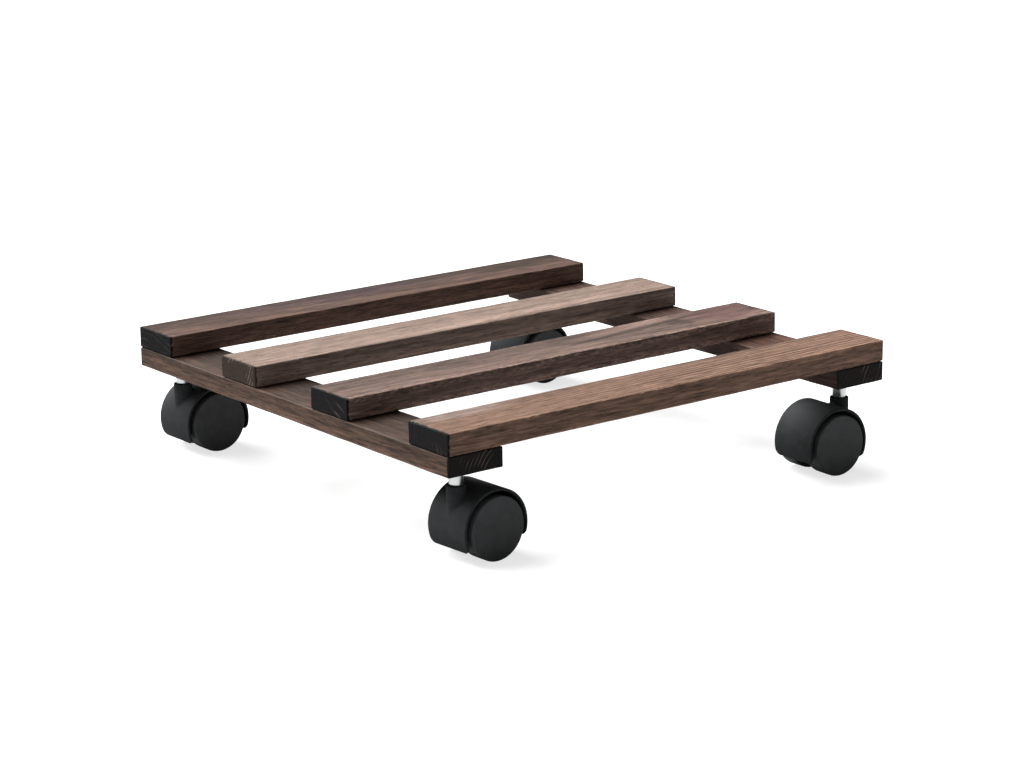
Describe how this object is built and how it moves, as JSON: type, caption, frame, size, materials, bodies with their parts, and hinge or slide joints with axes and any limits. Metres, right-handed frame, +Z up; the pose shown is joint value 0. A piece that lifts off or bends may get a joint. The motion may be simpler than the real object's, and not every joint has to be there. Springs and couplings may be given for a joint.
{
  "type": "plant pot caddy",
  "caption": "Low square caddy of dark stained slats on two rails, rolling on hooded twin-wheel swivel castors under its corners, for moving a heavy plant pot.",
  "frame": {"origin": "on the floor under the middle of the deck", "axes": "+X along the slats, from the picture's left to its right; +Y along the rails, from the front to the back; +Z up"},
  "size_m": [0.35, 0.35, 0.085],
  "materials": {
    "wood_slat_back": "dark purplish brown stained softwood, matt, planed, eased edges",
    "wood_slat_mid_back": "lighter grey-tan stained softwood with fine straight grain, matt",
    "wood_slat_mid_front": "mauve-brown stained softwood with a flame figure, matt",
    "wood_slat_front": "warm red-brown stained softwood with strong straight grain, matt",
    "wood_rails": "grey-brown stained softwood, darker end grain, matt",
    "black_nylon": "anthracite moulded nylon, satin, slightly mottled",
    "chromed_steel": "bright chromed steel pin",
    "zinc_plated_steel": "bright zinc plate",
    "spring_steel": "dark spring steel"
  },
  "bodies": {
    "deck": {"slat_back": "wood_slat_back", "slat_mid_back": "wood_slat_mid_back", "slat_mid_front": "wood_slat_mid_front", "slat_front": "wood_slat_front", "rail_left": "wood_rails", "rail_right": "wood_rails", "screw_back_left_1": "zinc_plated_steel", "screw_back_left_2": "zinc_plated_steel", "screw_mid_back_left_1": "zinc_plated_steel", "screw_mid_back_left_2": "zinc_plated_steel", "screw_mid_front_left_1": "zinc_plated_steel", "screw_mid_front_left_2": "zinc_plated_steel", "screw_front_left_1": "zinc_plated_steel", "screw_front_left_2": "zinc_plated_steel", "screw_back_right_1": "zinc_plated_steel", "screw_back_right_2": "zinc_plated_steel", "screw_mid_back_right_1": "zinc_plated_steel", "screw_mid_back_right_2": "zinc_plated_steel", "screw_mid_front_right_1": "zinc_plated_steel", "screw_mid_front_right_2": "zinc_plated_steel", "screw_front_right_1": "zinc_plated_steel", "screw_front_right_2": "zinc_plated_steel", "castor_front_left_sleeve": "zinc_plated_steel", "castor_front_left_stem": "chromed_steel", "castor_front_left_grip_ring": "spring_steel", "castor_front_right_sleeve": "zinc_plated_steel", "castor_front_right_stem": "chromed_steel", "castor_front_right_grip_ring": "spring_steel", "castor_back_left_sleeve": "zinc_plated_steel", "castor_back_left_stem": "chromed_steel", "castor_back_left_grip_ring": "spring_steel", "castor_back_right_sleeve": "zinc_plated_steel", "castor_back_right_stem": "chromed_steel", "castor_back_right_grip_ring": "spring_steel"},
    "castor_front_left": {"castor_front_left_housing": "black_nylon", "castor_front_left_axle": "zinc_plated_steel"},
    "castor_front_left_wheel_front": {"castor_front_left_wheel_front": "black_nylon"},
    "castor_front_left_wheel_back": {"castor_front_left_wheel_back": "black_nylon"},
    "castor_front_right": {"castor_front_right_housing": "black_nylon", "castor_front_right_axle": "zinc_plated_steel"},
    "castor_front_right_wheel_front": {"castor_front_right_wheel_front": "black_nylon"},
    "castor_front_right_wheel_back": {"castor_front_right_wheel_back": "black_nylon"},
    "castor_back_left": {"castor_back_left_housing": "black_nylon", "castor_back_left_axle": "zinc_plated_steel"},
    "castor_back_left_wheel_front": {"castor_back_left_wheel_front": "black_nylon"},
    "castor_back_left_wheel_back": {"castor_back_left_wheel_back": "black_nylon"},
    "castor_back_right": {"castor_back_right_housing": "black_nylon", "castor_back_right_axle": "zinc_plated_steel"},
    "castor_back_right_wheel_front": {"castor_back_right_wheel_front": "black_nylon"},
    "castor_back_right_wheel_back": {"castor_back_right_wheel_back": "black_nylon"}
  },
  "joints": [
    {"name": "front_left_swivel", "type": "hinge", "parent": "deck", "child": "castor_front_left", "pos_m": [-0.155, -0.155, 0.0466], "axis": [0, 0, 1], "continuous": true},
    {"name": "front_left_wheel_front_spin", "type": "hinge", "parent": "castor_front_left", "child": "castor_front_left_wheel_front", "pos_m": [-0.13902, -0.15416, 0.02], "axis": [-0.0523, 0.9986, 0], "continuous": true},
    {"name": "front_left_wheel_back_spin", "type": "hinge", "parent": "castor_front_left", "child": "castor_front_left_wheel_back", "pos_m": [-0.13902, -0.15416, 0.02], "axis": [-0.0523, 0.9986, 0], "continuous": true},
    {"name": "front_right_swivel", "type": "hinge", "parent": "deck", "child": "castor_front_right", "pos_m": [0.155, -0.155, 0.0466], "axis": [0, 0, 1], "continuous": true},
    {"name": "front_right_wheel_front_spin", "type": "hinge", "parent": "castor_front_right", "child": "castor_front_right_wheel_front", "pos_m": [0.139, -0.15472, 0.02], "axis": [0.0175, 0.9998, 0], "continuous": true},
    {"name": "front_right_wheel_back_spin", "type": "hinge", "parent": "castor_front_right", "child": "castor_front_right_wheel_back", "pos_m": [0.139, -0.15472, 0.02], "axis": [0.0175, 0.9998, 0], "continuous": true},
    {"name": "back_left_swivel", "type": "hinge", "parent": "deck", "child": "castor_back_left", "pos_m": [-0.155, 0.155, 0.0466], "axis": [0, 0, 1], "continuous": true},
    {"name": "back_left_wheel_front_spin", "type": "hinge", "parent": "castor_back_left", "child": "castor_back_left_wheel_front", "pos_m": [-0.139, 0.15528, 0.02], "axis": [-0.0175, 0.9998, 0], "continuous": true},
    {"name": "back_left_wheel_back_spin", "type": "hinge", "parent": "castor_back_left", "child": "castor_back_left_wheel_back", "pos_m": [-0.139, 0.15528, 0.02], "axis": [-0.0175, 0.9998, 0], "continuous": true},
    {"name": "back_right_swivel", "type": "hinge", "parent": "deck", "child": "castor_back_right", "pos_m": [0.155, 0.155, 0.0466], "axis": [0, 0, 1], "continuous": true},
    {"name": "back_right_wheel_front_spin", "type": "hinge", "parent": "castor_back_right", "child": "castor_back_right_wheel_front", "pos_m": [0.13902, 0.15416, 0.02], "axis": [-0.0523, 0.9986, 0], "continuous": true},
    {"name": "back_right_wheel_back_spin", "type": "hinge", "parent": "castor_back_right", "child": "castor_back_right_wheel_back", "pos_m": [0.13902, 0.15416, 0.02], "axis": [-0.0523, 0.9986, 0], "continuous": true}
  ]
}
